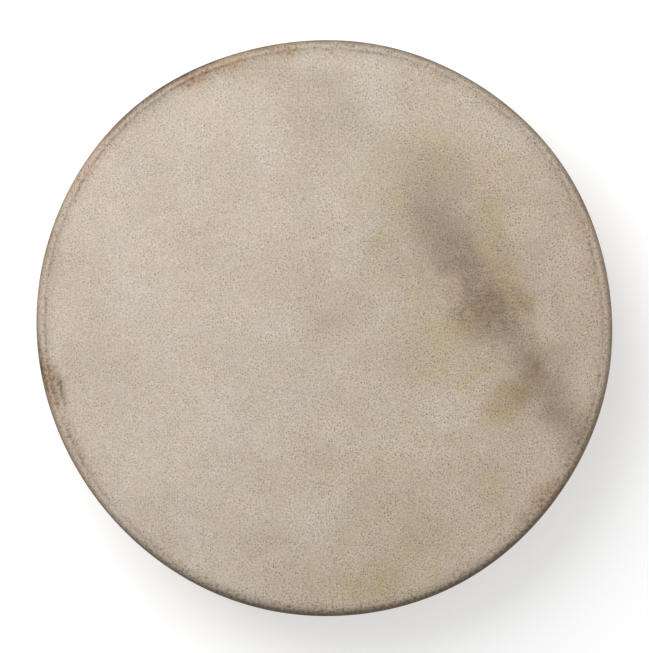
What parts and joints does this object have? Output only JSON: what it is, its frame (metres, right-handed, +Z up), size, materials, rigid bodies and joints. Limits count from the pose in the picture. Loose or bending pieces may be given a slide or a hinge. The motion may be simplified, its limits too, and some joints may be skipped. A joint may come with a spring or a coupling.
{
  "type": "ceremonial frame drum",
  "caption": "Shallow round hand drum: a rawhide head drawn over a bent wooden hoop and laced at the open back to a small wooden grip ring.",
  "frame": {"origin": "middle of the underside, at the back edge that the drum rests on", "axes": "+Z up along the drum's axis, from the open back to the head; +Y towards the top of the head as pictured"},
  "size_m": [0.4057, 0.4059, 0.07],
  "materials": {
    "rawhide": "matte cream rawhide with follicle dots and soft grey-brown stains",
    "lace_rawhide": "satin amber rawhide, cut edges",
    "bent_wood": "oiled straight-grained wood",
    "grip_wood": "dark wood worn smooth"
  },
  "bodies": {
    "root": {"drumhead": "rawhide", "hoop": "bent_wood", "lacing": "lace_rawhide", "grip_ring": "grip_wood"}
  },
  "joints": []
}
